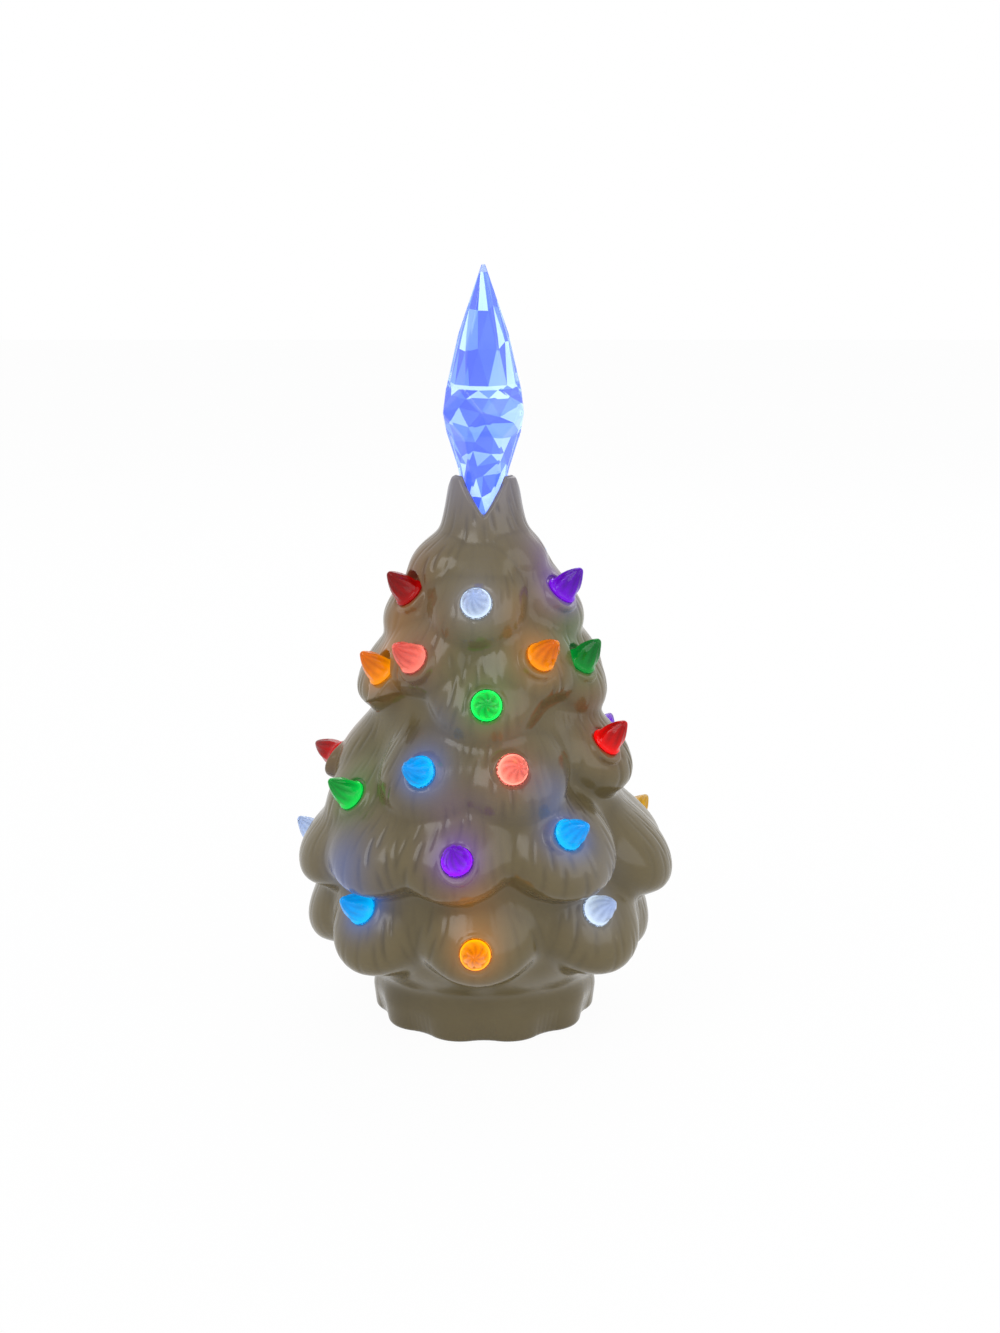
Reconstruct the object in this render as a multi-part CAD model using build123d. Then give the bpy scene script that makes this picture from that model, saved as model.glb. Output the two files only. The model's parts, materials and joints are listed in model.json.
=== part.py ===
from build123d import *
from math import sin, cos, radians
import os

os.makedirs("parts", exist_ok=True)

# Sizes in millimetres. The foot stands on z = 0, +Z is up and the front faces -Y.

# Ceramic body
tree_height = 183.0
tree_radius = 65.0
bough_wall = 4.5
core_wall = 5.0
lift_step = 1.0

# Foot
foot_radius = 40.0
foot_lobe_radius = 14.0
foot_lobe_taper = 2.0
foot_lobes = 10
foot_height = 12.0
foot_bore_radius = 27.0
foot_bore_height = 8.0

# Crown
crown_height = 25.0
crown_base_radius = 17.5
crown_waist_share = 0.52
crown_waist_radius = 13.9
crown_rim_radius = 11.8
crown_mouth_depth = 17.0
crown_seam_drop = 6.0
socket_gap = 0.1
notch_half_width = 8.0
notch_depth = 13.0
notch_count = 3

# Bulbs
bulb_flange_radius = 5.5
bulb_flange_height = 1.4
bulb_flame_radius = 4.5
bulb_belly_radius = 3.7
bulb_belly_height = 6.2
bulb_tip_radius = 1.15
bulb_shoulder_height = 10.3
bulb_height = 11.0
peg_radius = 2.6
peg_length = 7.0
peg_clearance = 0.05
seat_sink = 1.3
spotface_gap = 0.4
light_hole_depth = 10.0

# Spire, with its rises measured from the seat
spire_length = 81.0
spire_tip_radius = 0.7
spire_shoulder_rise = 59.0
spire_shoulder_radius = 8.2
spire_ring_rise = 42.0
spire_ring_radius = 12.1
spire_belt_rise = 34.5
spire_belt_radius = 15.0
spire_waist_rise = 27.0
spire_waist_radius = 12.0
spire_rim_rise = 16.0
spire_rim_radius = 8.5
spire_seat_radius = 4.9
spire_peg_radius = 4.0
spire_peg_length = 11.0
spire_sides = 6
running_gap = 0.05
peg_gap = 0.1

# Socket and lamp above the post
socket_flange_radius = 9.4
socket_flange_height = 3.0
socket_sleeve_radius = 8.0
socket_sleeve_length = 16.0
socket_floor = 0.5
lamp_radius = 2.5
lamp_height = 9.0
lamp_base_radius = 4.0
lamp_base_height = 3.0

# Lamp post and board
post_radius = 4.0
post_bore_radius = 3.0
post_flange_radius = 6.5
post_flange_height = 1.5
ring_radius = 6.5
ring_height = 7.0
ring_middle = 102.0
board_radius = 16.0
board_thickness = 1.6
carrier_outer_radius = 15.0
carrier_inner_radius = 11.2
carrier_height = 1.0
carrier_lamp_ring = 12.9
carrier_lamp_radius = 2.0
carrier_lamp_height = 4.0
carrier_lamps = 6

# Base plug and gasket
plug_gap = 1.0
plug_recess = 1.5
plug_thickness = 5.0
gasket_groove = 0.8
gasket_height = 3.4
gasket_gap = 0.05
collar_radius = 19.0
collar_top = 12.0

# Battery door
door_radius = 17.0
door_flange = 2.5
door_gap = 0.2
spigot_radius = 14.5
spigot_top = 8.0
lug_radius = 16.0
lug_bottom = 6.2
lug_height = 1.7
lug_width = 24
lug_slot_width = 32
lug_count = 3
lug_first = 90
door_turn = 40
groove_gap = 0.3
coin_slot_length = 18.0
coin_slot_width = 2.0
coin_slot_depth = 1.4

# Battery holder
cell_radius = 5.25
cell_length = 44.5
cell_ring = 6.3
cell_bottom = 10.0
cell_nub_radius = 1.9
cell_nub_height = 1.0
holder_inner_radius = 12.3
holder_outer_radius = 14.3
holder_flange_height = 2.0
holder_top_thickness = 3.0
contact_thickness = 1.0
door_plate_radius = 11.5
door_plate_thickness = 0.6
door_spring_outer = 8.3
door_spring_inner = 4.3

# Screws
screw_radius = 1.0
screw_head_radius = 1.9
screw_head_height = 1.2
screw_length = 3.4
screw_slot_width = 0.5
screw_slot_depth = 0.5
holder_screw_ring = 16.7
holder_screw_angle = 30
board_screw_ring = 8.7
board_screw_angle = 90

# Switch
switch_place = 22.5
switch_width = 6.0
switch_length = 12.0
switch_height = 6.0
switch_wall = 1.0
slider_width = 2.6
slider_length = 3.0
slider_travel = 3.0
slider_bottom = 0.7
slider_gap = 0.1
slider_plate_width = 3.8
slider_plate_length = 5.0
slider_plate_height = 2.0

# Core outline below the crown: share of the tree's height, share of its radius
core_shares = [
    (0.00, 0.48), (0.065, 0.53), (0.095, 0.60), (0.135, 0.70), (0.21, 0.79), (0.33, 0.78), (0.405, 0.71),
    (0.49, 0.63), (0.565, 0.57), (0.63, 0.51), (0.70, 0.44), (0.765, 0.37), (0.82, 0.31),
]

# Tiers: middle height by tree height; tip reach, bough radius and half thickness by tree radius;
# droop in degrees
tier_shares = {
    "crown": (0.858, 0.380, 0.185, 0.092, 40),
    "first": (0.770, 0.535, 0.230, 0.130, 42),
    "second": (0.686, 0.615, 0.238, 0.130, 42),
    "third": (0.634, 0.677, 0.270, 0.146, 42),
    "fourth": (0.495, 0.830, 0.277, 0.154, 42),
    "fifth": (0.339, 0.997, 0.308, 0.177, 42),
    "sixth": (0.210, 0.930, 0.300, 0.200, 44),
}

# Boughs: tier, angle from the front towards +X, lift and outward steps; a lit bough adds the bulb's colour,
# the turn and lean of its seat and the heading and rise of the bulb
boughs = [
    ("crown", -62, 0, 2),
    ("crown", 58, 3, -2),
    ("crown", -3, -1, 0),
    ("crown", 115, 0, -1),
    ("crown", -120, 0, 1),
    ("crown", 176, 1, 0),
    ("first", -80, 1, -1, "red", 41, 40, -65, 45),
    ("first", -5, 3, 0, "white", 2, 32, -5, 24),
    ("first", 78, 2, -1, "purple", -32, 39, 65, 48),
    ("first", 146, 0, 0, "blue", 0, 45, 146, 45),
    ("first", -148, 0, 0, "orange", 0, 45, -148, 45),
    ("second", -40, 3, 0, "pink", 9, 23, -45, 35),
    ("second", 33, 1, 0, "orange", -7, 33, 40, 38),
    ("second", 108, 0, 0, "yellow", 40, 45, 148, 45),
    ("second", 180, 0, 0, "green", 0, 45, 180, 45),
    ("second", -110, -3, -1, "blue", -38, 45, -148, 45),
    ("third", -77, 5, -1, "orange", 39, 26, -65, 45),
    ("third", 1, 0, 0, "green", 1, 23, 0, 16),
    ("third", 74, 4, -2, "green", -28, 39, 60, 50),
    ("third", 143, 0, 0, "red", 0, 45, 143, 45),
    ("third", -142, 0, 0, "purple", 0, 45, -142, 45),
    ("fourth", -24, 2, 0, "blue", 2, 32, -28, 22),
    ("fourth", 14, 2, 0, "pink", -9, 36, 14, 20),
    ("fourth", 68, 4, -2, "red", -24, 38, 62, 48),
    ("fourth", 116, -1, 0, "purple", 32, 16, 148, 38),
    ("fourth", -66, -8, 1, "green", 27, 24, -58, 38),
    ("fourth", -92, 2, -4, "red", -8, 8, -124, 18),
    ("fourth", 164, 0, 0, "white", 0, 45, 164, 45),
    ("fourth", -146, 0, 0, "yellow", 0, 45, -146, 45),
    ("fifth", -11, 8, -1, "purple", 10, 24, -8, 40),
    ("fifth", 30, 7, 0, "blue", -8, 44, 42, 30),
    ("fifth", 75, -1, 0),
    ("fifth", 112, -2, 0, "yellow", 32, 16, 135, 32),
    ("fifth", -74, 2, -1),
    ("fifth", -106, -5, -4, "white", 32, 26, -92, 44),
    ("fifth", 156, 0, 0, "green", 0, 45, 156, 45),
    ("fifth", -156, 0, 0, "red", 0, 45, -156, 45),
    ("fifth", -42, 6, -1),
    ("sixth", -47, 1, 0, "blue", 4, 41, -45, 32),
    ("sixth", -2, 3, 0, "orange", -1, 11, -2, 14),
    ("sixth", 47, 2, 2, "white", -23, 41, 36, 30),
    ("sixth", 81, 1, -4),
    ("sixth", 132, 0, 0, "blue", 0, 36, 132, 36),
    ("sixth", -175, 0, 0, "orange", 0, 36, -175, 36),
    ("sixth", -134, 0, 0, "green", 0, 36, -134, 36),
    ("sixth", -90, 1, 0),
]

upward = Axis.Z.direction
crown_base_height = tree_height - crown_height
crown_shelf_height = tree_height - crown_mouth_depth
crown_seam_height = crown_shelf_height - crown_seam_drop
crown_bore_radius = socket_flange_radius + socket_gap
crown_throat_radius = socket_sleeve_radius + socket_gap
spire_seat_height = crown_shelf_height + socket_flange_height
socket_bottom = crown_shelf_height - socket_sleeve_length
post_top = socket_bottom - lamp_height
plug_radius = foot_bore_radius - plug_gap


def outward(angle):
    return Vector(sin(radians(angle)), -cos(radians(angle)), 0)


def heading(angle, rise):
    return outward(angle) * cos(radians(rise)) + upward * sin(radians(rise))


def turned(points):
    """Solid of revolution about Z from outline points given as (radius, height)."""
    outline = Polyline(*[(radius, 0, height) for radius, height in points], close=True)
    return revolve(make_face(outline), Axis.Z)


def rod(radius, bottom, top):
    return Pos(0, 0, bottom) * extrude(Circle(radius), top - bottom)


def tube(outer, inner, bottom, top):
    return Pos(0, 0, bottom) * extrude(Circle(outer) - Circle(inner), top - bottom)


def block(width, length, bottom, top):
    return Pos(0, 0, bottom) * extrude(Rectangle(width, length), top - bottom)


def sector(radius, bottom, top, angle, width):
    """Wedge of a disc, its middle at the angle."""
    start = Vector(radius, 0, 0).rotate(Axis.Z, angle - width / 2)
    middle = Vector(radius, 0, 0).rotate(Axis.Z, angle)
    end = Vector(radius, 0, 0).rotate(Axis.Z, angle + width / 2)
    centre = Vector(0, 0, 0)
    rim = ThreePointArc(start, middle, end)
    face = make_face([Line(centre, start), rim, Line(end, centre)])
    return Pos(0, 0, bottom) * extrude(face, top - bottom)


def around(solid, count, first=0):
    return [Rot(0, 0, first + 360 / count * step) * solid for step in range(count)]


def save(node, solid):
    export_step(solid, "parts/" + node + ".step")


# Boughs are lenses that droop outwards, each the space that an upper and a lower ball share
def bough_frame(tier, angle, lift, out):
    """Middle of the upper ball, middle of the lower ball and their radius."""
    height_share, reach_share, radius_share, half_share, droop = tier_shares[tier]
    radius = radius_share * tree_radius
    half = half_share * tree_radius
    ball_radius = (radius ** 2 + half ** 2) / (2 * half)
    shift = ball_radius - half
    tip = ball_radius - shift * sin(radians(droop))
    centre = outward(angle) * (reach_share * tree_radius + out * lift_step - tip)
    centre += upward * (height_share * tree_height + lift * lift_step)
    offset = heading(angle, 90 - droop) * shift
    return centre - offset, centre + offset, ball_radius


def bough_solid(place, wall):
    upper, lower, ball_radius = bough_frame(*place)
    side = outward(place[1] + 90)
    upper_ball = Plane(upper, x_dir=upper - lower, z_dir=side) * Sphere(ball_radius - wall)
    lower_ball = Plane(lower, x_dir=lower - upper, z_dir=side) * Sphere(ball_radius - wall)
    return upper_ball & lower_ball


def bulb_seat(place, light):
    """Frame of a bulb: its origin on the seat, its Z along the bulb."""
    upper, lower, ball_radius = bough_frame(*place)
    colour, turn, lean, aim, rise = light
    skin = upper + heading(place[1] + turn, lean) * ball_radius
    axis = heading(aim, rise)
    return Plane(skin - axis * seat_sink, x_dir=outward(aim + 90), z_dir=axis)


places = [bough[:4] for bough in boughs]
lights = [(bough[:4], bough[4:]) for bough in boughs if len(bough) > 4]
seats = [(light[0], bulb_seat(place, light)) for place, light in lights]

# Ceramic body: core, foot lobes, crown bell and boughs, hollowed to an even wall
core_points = [(radius * tree_radius, height * tree_height) for height, radius in core_shares]
core = turned([(0, 0)] + core_points + [(crown_base_radius, crown_base_height), (0, crown_base_height)])

bell_arc = ThreePointArc(
    (crown_base_radius, 0, crown_base_height),
    (crown_waist_radius, 0, crown_base_height + crown_waist_share * crown_height),
    (crown_rim_radius, 0, tree_height),
)
bell_rest = Polyline(
    (crown_rim_radius, 0, tree_height),
    (0, 0, tree_height),
    (0, 0, crown_base_height),
    (crown_base_radius, 0, crown_base_height),
)
bell = revolve(make_face([bell_arc, bell_rest]), Axis.Z)

lobe_rim_radius = foot_lobe_radius - foot_lobe_taper
lobe = turned([(0, 0), (lobe_rim_radius, 0), (foot_lobe_radius, foot_height), (0, foot_height)])
lobes = around(Pos(foot_radius - foot_lobe_radius, 0, 0) * lobe, foot_lobes)
outer = core + ([bell] + lobes + [bough_solid(place, 0) for place in places])

hollow_points = [(point[0] - core_wall, point[1]) for point in core_points if point[1] > foot_height]
hollow = turned(
    [(0, 0), (foot_bore_radius, 0), (foot_bore_radius, foot_bore_height)]
    + hollow_points
    + [(crown_throat_radius, crown_base_height), (crown_throat_radius, tree_height), (0, tree_height)]
)
inner = hollow + [bough_solid(place, bough_wall) for place in places if place[0] != "crown"]
tree_body = outer - inner

notch = Polyline(
    (-notch_half_width, 0, tree_height),
    (0, 0, tree_height - notch_depth),
    (notch_half_width, 0, tree_height),
    close=True,
)
notch_prism = extrude(make_face(notch), tree_radius, dir=outward(0))
crown_bore = rod(crown_bore_radius, crown_shelf_height, tree_height)
tree_body = tree_body - ([crown_bore] + around(notch_prism, notch_count))

drills = []
for colour, seat in seats:
    drills.append(seat * rod(bulb_flange_radius + spotface_gap, 0, bulb_height))
    drills.append(seat * rod(peg_radius + peg_clearance, -light_hole_depth, 0))
tree_body = tree_body - drills

# The crown is parted from the boughs at a level seam
crown_room = block(2 * tree_radius, 2 * tree_radius, crown_seam_height, tree_height)
save("tree_crown", tree_body & crown_room)
save("tree_body", tree_body - crown_room)

# Bulbs: peg, collar and flame
flame_arc = ThreePointArc(
    (bulb_flame_radius, 0, bulb_flange_height),
    (bulb_belly_radius, 0, bulb_belly_height),
    (bulb_tip_radius, 0, bulb_shoulder_height),
)
bulb_stem = Polyline(
    (bulb_tip_radius, 0, bulb_shoulder_height),
    (0, 0, bulb_height),
    (0, 0, -peg_length),
    (peg_radius, 0, -peg_length),
    (peg_radius, 0, 0),
    (bulb_flange_radius, 0, 0),
    (bulb_flange_radius, 0, bulb_flange_height),
    (bulb_flame_radius, 0, bulb_flange_height),
)
bulb = revolve(make_face([flame_arc, bulb_stem]), Axis.Z)
counts = {}
for colour, seat in seats:
    counts[colour] = counts.get(colour, 0) + 1
    save(colour + "_bulb_" + str(counts[colour]), seat * bulb)


# Spire: six-sided rings of points, the belt turned half a side
def spire_ring(rise, radius, turn):
    first = Vector(radius, 0, spire_seat_height + rise)
    return [first.rotate(Axis.Z, turn + 360 / spire_sides * side) for side in range(spire_sides)]


half_side = 180 / spire_sides
spire_rings = [
    (spire_ring(0, spire_seat_radius, 0), 0),
    (spire_ring(spire_rim_rise, spire_rim_radius, 0), 0),
    (spire_ring(spire_waist_rise, spire_waist_radius, 0), 0),
    (spire_ring(spire_belt_rise, spire_belt_radius, half_side), 1),
    (spire_ring(spire_ring_rise, spire_ring_radius, 0), 0),
    (spire_ring(spire_shoulder_rise, spire_shoulder_radius, 0), 0),
    (spire_ring(spire_length, spire_tip_radius, 0), 0),
]


def facet(*corners):
    return make_face(Polyline(*corners, close=True))


facets = [facet(*spire_rings[0][0]), facet(*spire_rings[-1][0])]
for (low, low_turn), (high, high_turn) in zip(spire_rings, spire_rings[1:]):
    for side in range(spire_sides):
        after = (side + 1) % spire_sides
        if low_turn == high_turn:
            facets.append(facet(low[side], low[after], high[after], high[side]))
        elif high_turn > low_turn:
            facets.append(facet(low[side], low[after], high[side]))
            facets.append(facet(low[after], high[after], high[side]))
        else:
            facets.append(facet(high[side], high[after], low[side]))
            facets.append(facet(high[after], low[after], low[side]))
spire_faces = [piece.faces()[0] for piece in facets]
spire_solid = Solid(Shell(spire_faces))
spire_peg = rod(spire_peg_radius, spire_seat_height - spire_peg_length, spire_seat_height)
save("spire", spire_solid + spire_peg)

# Socket in the crown and the lamp under it
socket_top = spire_seat_height - running_gap
socket = rod(socket_flange_radius, crown_shelf_height, socket_top)
socket = socket + rod(socket_sleeve_radius, socket_bottom, crown_shelf_height)
peg_hole_bottom = spire_seat_height - spire_peg_length - socket_floor
socket = socket - rod(spire_peg_radius + peg_gap, peg_hole_bottom, socket_top)
save("spire_socket", socket)

spire_lamp = rod(lamp_base_radius, post_top, post_top + lamp_base_height)
spire_lamp = spire_lamp + rod(lamp_radius, post_top + lamp_base_height, socket_bottom)
save("spire_lamp", spire_lamp)

# Base plug with its collar, bayonet groove and switch slot
plug_top = plug_recess + plug_thickness
plug = rod(plug_radius, plug_recess, plug_top) + rod(collar_radius, plug_recess, collar_top)
door_top = plug_recess + door_flange
groove_bottom = lug_bottom - groove_gap
groove_top = lug_bottom + lug_height + groove_gap
plug = plug - rod(door_radius + door_gap, plug_recess, door_top + door_gap)
plug = plug - rod(spigot_radius + door_gap, plug_recess, collar_top)
plug = plug - rod(lug_radius + groove_gap, groove_bottom, groove_top)
entry = sector(lug_radius + groove_gap, door_top, groove_bottom, 0, lug_slot_width)
plug = plug - around(entry, lug_count, lug_first + door_turn)
gasket_middle = plug_recess + plug_thickness / 2
gasket_bottom = gasket_middle - gasket_height / 2
gasket_top = gasket_middle + gasket_height / 2
plug = plug - tube(plug_radius, plug_radius - gasket_groove, gasket_bottom, gasket_top)
slot_length = slider_length + slider_travel + 2 * slider_gap
slot_width = slider_width + 2 * slider_gap
switch_spot = Pos(switch_place, 0, 0)
plug = plug - switch_spot * block(slot_width, slot_length, plug_recess, plug_top)
holder_screw_spots = [
    Rot(0, 0, holder_screw_angle) * Pos(holder_screw_ring, 0, 0),
    Rot(0, 0, holder_screw_angle + 180) * Pos(holder_screw_ring, 0, 0),
]
screw_head_seat = collar_top + holder_flange_height
for spot in holder_screw_spots:
    plug = plug - spot * rod(screw_radius, screw_head_seat - screw_length, collar_top)
save("base_plug", plug)
gasket_radius = foot_bore_radius - gasket_gap
save("base_gasket", tube(gasket_radius, plug_radius - gasket_groove, gasket_bottom, gasket_top))

# Battery holder on the collar
cell_top = cell_bottom + cell_length
holder_ceiling = cell_top + contact_thickness
holder_top = holder_ceiling + holder_top_thickness
holder = tube(collar_radius, holder_inner_radius, collar_top, collar_top + holder_flange_height)
holder = holder + tube(holder_outer_radius, holder_inner_radius, collar_top, holder_ceiling)
holder = holder + rod(holder_outer_radius, holder_ceiling, holder_top)
board_top = holder_top + board_thickness
board_screw_spots = [
    Rot(0, 0, board_screw_angle) * Pos(board_screw_ring, 0, 0),
    Rot(0, 0, board_screw_angle + 180) * Pos(board_screw_ring, 0, 0),
]
for spot in holder_screw_spots:
    holder = holder - spot * rod(screw_radius, collar_top, screw_head_seat)
for spot in board_screw_spots:
    holder = holder - spot * rod(screw_radius, board_top - screw_length, holder_top)
save("battery_holder", holder)
save("holder_contacts", rod(holder_inner_radius, cell_top, holder_ceiling))

cell = rod(cell_radius, cell_bottom, cell_top - cell_nub_height)
cell = cell + rod(cell_nub_radius, cell_top - cell_nub_height, cell_top)
for step, placed in enumerate(around(Pos(cell_ring, 0, 0) * cell, 3, lug_first)):
    save("battery_" + str(step + 1), placed)


# Screws
def screw(seat_height):
    head = rod(screw_head_radius, seat_height, seat_height + screw_head_height)
    shank = rod(screw_radius, seat_height - screw_length, seat_height)
    head_top = seat_height + screw_head_height
    drive = block(2 * screw_head_radius, screw_slot_width, head_top - screw_slot_depth, head_top)
    return head + shank - drive


for step in range(2):
    save("holder_screw_" + str(step + 1), holder_screw_spots[step] * screw(screw_head_seat))
    save("board_screw_" + str(step + 1), board_screw_spots[step] * screw(board_top))

# Lamp board, lamp carrier and post
board = rod(board_radius, holder_top, board_top)
for spot in board_screw_spots:
    board = board - spot * rod(screw_radius, holder_top, board_top)
save("lamp_board", board)

carrier = tube(carrier_outer_radius, carrier_inner_radius, board_top, board_top + carrier_height)
lamp_shoulder = board_top + carrier_height + carrier_lamp_height
bead = Pos(carrier_lamp_ring, 0, 0) * rod(carrier_lamp_radius, board_top, lamp_shoulder)
dome = Pos(carrier_lamp_ring, 0, lamp_shoulder) * Sphere(carrier_lamp_radius)
save("board_lamps", carrier + around(bead + dome, carrier_lamps))

post = tube(post_radius, post_bore_radius, board_top, post_top)
post = post + tube(post_flange_radius, post_bore_radius, board_top, board_top + post_flange_height)
save("lamp_post", post)
ring_bottom = ring_middle - ring_height / 2
save("lamp_ring", tube(ring_radius, post_radius, ring_bottom, ring_bottom + ring_height))

# Battery door: flange, spigot with three lugs, coin slot
door = rod(door_radius, plug_recess, door_top) + rod(spigot_radius, door_top, spigot_top)
lug = sector(lug_radius, lug_bottom, lug_bottom + lug_height, 0, lug_width)
door = door + around(lug, lug_count, lug_first)
door = door - block(coin_slot_length, coin_slot_width, plug_recess, plug_recess + coin_slot_depth)
save("battery_door", door)
plate_top = spigot_top + door_plate_thickness
door_contact = rod(door_plate_radius, spigot_top, plate_top)
door_contact = door_contact + tube(door_spring_outer, door_spring_inner, plate_top, cell_bottom - peg_gap)
save("door_contact", door_contact)

# Slide switch beside the door
housing = block(switch_width, switch_length, plug_top, plug_top + switch_height)
well_width = slider_plate_width + 2 * slider_gap
well_length = slider_plate_length + slider_travel + 2 * slider_gap
housing = housing - block(well_width, well_length, plug_top, plug_top + switch_height - switch_wall)
save("switch_housing", switch_spot * housing)

slider = block(slider_width, slider_length, slider_bottom, plug_top + running_gap)
plate_bottom = plug_top + running_gap
plate_ceiling = plate_bottom + slider_plate_height
slider = slider + block(slider_plate_width, slider_plate_length, plate_bottom, plate_ceiling)
save("switch_slider", switch_spot * Pos(0, -slider_travel / 2, 0) * slider)
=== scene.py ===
import json
from math import radians

import bpy
import numpy as np
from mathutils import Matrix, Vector


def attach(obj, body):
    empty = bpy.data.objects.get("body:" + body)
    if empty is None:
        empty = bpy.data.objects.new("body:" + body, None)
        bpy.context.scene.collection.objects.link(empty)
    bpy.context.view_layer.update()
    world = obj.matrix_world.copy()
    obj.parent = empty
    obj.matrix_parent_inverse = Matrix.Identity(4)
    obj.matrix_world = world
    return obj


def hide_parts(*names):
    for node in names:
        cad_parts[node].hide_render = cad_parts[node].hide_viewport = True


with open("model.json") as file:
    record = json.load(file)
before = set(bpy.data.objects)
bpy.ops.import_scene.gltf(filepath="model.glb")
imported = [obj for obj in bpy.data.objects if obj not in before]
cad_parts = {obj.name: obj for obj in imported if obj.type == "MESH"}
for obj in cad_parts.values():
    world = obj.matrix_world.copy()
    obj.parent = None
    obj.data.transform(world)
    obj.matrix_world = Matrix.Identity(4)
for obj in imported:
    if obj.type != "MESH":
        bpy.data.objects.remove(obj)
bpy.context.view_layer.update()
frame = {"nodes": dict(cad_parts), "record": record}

MM = 0.001

# Sizes repeated from the part, in millimetres until a mesh is written
TREE_HEIGHT = 183.0
TREE_RADIUS = 65.0
LIFT_STEP = 1.0
FOOT_RADIUS = 40.0
FOOT_LOBE_RADIUS = 14.0
FOOT_LOBE_TAPER = 2.0
FOOT_LOBES = 10
FOOT_HEIGHT = 12.0
FOOT_BORE_RADIUS = 27.0
FOOT_BORE_HEIGHT = 8.0
CORE_WALL = 5.0
CROWN_BASE_HEIGHT = 158.0
CROWN_BORE_RADIUS = 9.5
CROWN_SHELF_HEIGHT = 166.0
CROWN_THROAT_RADIUS = 8.1
NOTCH_HALF_WIDTH = 8.0
NOTCH_DEPTH = 13.0
NOTCH_COUNT = 3
SEAT_SINK = 1.3

CORE_SHARES = [
    (0.00, 0.48), (0.065, 0.53), (0.095, 0.60), (0.135, 0.70), (0.21, 0.79), (0.33, 0.78), (0.405, 0.71),
    (0.49, 0.63), (0.565, 0.57), (0.63, 0.51), (0.70, 0.44), (0.765, 0.37), (0.82, 0.31),
    (0.863, 0.269), (0.896, 0.241), (0.934, 0.214), (0.973, 0.196), (1.0, 0.1815),
]

TIER_SHARES = {
    "crown": (0.858, 0.380, 0.185, 0.092, 40),
    "first": (0.770, 0.535, 0.230, 0.130, 42),
    "second": (0.686, 0.615, 0.238, 0.130, 42),
    "third": (0.634, 0.677, 0.270, 0.146, 42),
    "fourth": (0.495, 0.830, 0.277, 0.154, 42),
    "fifth": (0.339, 0.997, 0.308, 0.177, 42),
    "sixth": (0.210, 0.930, 0.300, 0.200, 44),
}

# Boughs: tier, angle from the front, lift and outward step; where there is a bulb, also its colour,
# the turn and lean of its seat on the bough, and the heading and rise of its axis
BOUGHS = [
    ("crown", -62, 0, 2), ("crown", 58, 3, -2), ("crown", -3, -1, 0),
    ("crown", 115, 0, -1), ("crown", -120, 0, 1), ("crown", 176, 1, 0),
    ("first", -80, 1, -1, "red", 41, 40, -65, 45),
    ("first", -5, 3, 0, "white", 2, 32, -5, 24),
    ("first", 78, 2, -1, "purple", -32, 39, 65, 48),
    ("first", 146, 0, 0, "blue", 0, 45, 146, 45),
    ("first", -148, 0, 0, "orange", 0, 45, -148, 45),
    ("second", -40, 3, 0, "pink", 9, 23, -45, 35),
    ("second", 33, 1, 0, "orange", -7, 33, 40, 38),
    ("second", 108, 0, 0, "yellow", 40, 45, 148, 45),
    ("second", 180, 0, 0, "green", 0, 45, 180, 45),
    ("second", -110, -3, -1, "blue", -38, 45, -148, 45),
    ("third", -77, 5, -1, "orange", 39, 26, -65, 45),
    ("third", 1, 0, 0, "green", 1, 23, 0, 16),
    ("third", 74, 4, -2, "green", -28, 39, 60, 50),
    ("third", 143, 0, 0, "red", 0, 45, 143, 45),
    ("third", -142, 0, 0, "purple", 0, 45, -142, 45),
    ("fourth", -24, 2, 0, "blue", 2, 32, -28, 22),
    ("fourth", 14, 2, 0, "pink", -9, 36, 14, 20),
    ("fourth", 68, 4, -2, "red", -24, 38, 62, 48),
    ("fourth", 116, -1, 0, "purple", 32, 16, 148, 38),
    ("fourth", -66, -8, 1, "green", 27, 24, -58, 38),
    ("fourth", -92, 2, -4, "red", -8, 8, -124, 18),
    ("fourth", 164, 0, 0, "white", 0, 45, 164, 45),
    ("fourth", -146, 0, 0, "yellow", 0, 45, -146, 45),
    ("fifth", -11, 8, -1, "purple", 10, 24, -8, 40),
    ("fifth", 30, 7, 0, "blue", -8, 44, 42, 30),
    ("fifth", 75, -1, 0),
    ("fifth", 112, -2, 0, "yellow", 32, 16, 135, 32),
    ("fifth", -74, 2, -1),
    ("fifth", -106, -5, -4, "white", 32, 26, -92, 44),
    ("fifth", 156, 0, 0, "green", 0, 45, 156, 45),
    ("fifth", -156, 0, 0, "red", 0, 45, -156, 45),
    ("fifth", -42, 6, -1),
    ("sixth", -47, 1, 0, "blue", 4, 41, -45, 32),
    ("sixth", -2, 3, 0, "orange", -1, 11, -2, 14),
    ("sixth", 47, 2, 2, "white", -23, 41, 36, 30),
    ("sixth", 81, 1, -4),
    ("sixth", 132, 0, 0, "blue", 0, 36, 132, 36),
    ("sixth", -175, 0, 0, "orange", 0, 36, -175, 36),
    ("sixth", -134, 0, 0, "green", 0, 36, -134, 36),
    ("sixth", -90, 1, 0),
]

# Glazed surface: grid, and tracing of the outline from outside
COLUMNS = 900
ROWS = 400
TRACE_STEPS = 26
TRACE_SHARE = 0.75
TRACE_MARGIN = 8.0
TRACE_INNERMOST = 4.0
BOUGH_MARGIN = 6.0
BOUGH_TURN = 75
DEEPEST_GAP = -4.0
TINY = 1e-9

# Soft joins between boughs, rounded lips, and painted shade in the creases
JOIN_SHARPNESS = 0.43
CROWN_SHARPNESS = 1.1
CROWN_BLEND = (CROWN_BASE_HEIGHT - 8.0, CROWN_BASE_HEIGHT + 3.0)
JOIN_SWELL = 0.8
CORE_SOFTNESS = 0.85
CORE_BLUR = (-3.0, -2.0, -1.0, 0.0, 1.0, 2.0, 3.0)
GLAZE_ROWS = 4
CREASE_BAND = (0.25, 0.6)
CREASE_SHADE_STRENGTH = 0.3

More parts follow.
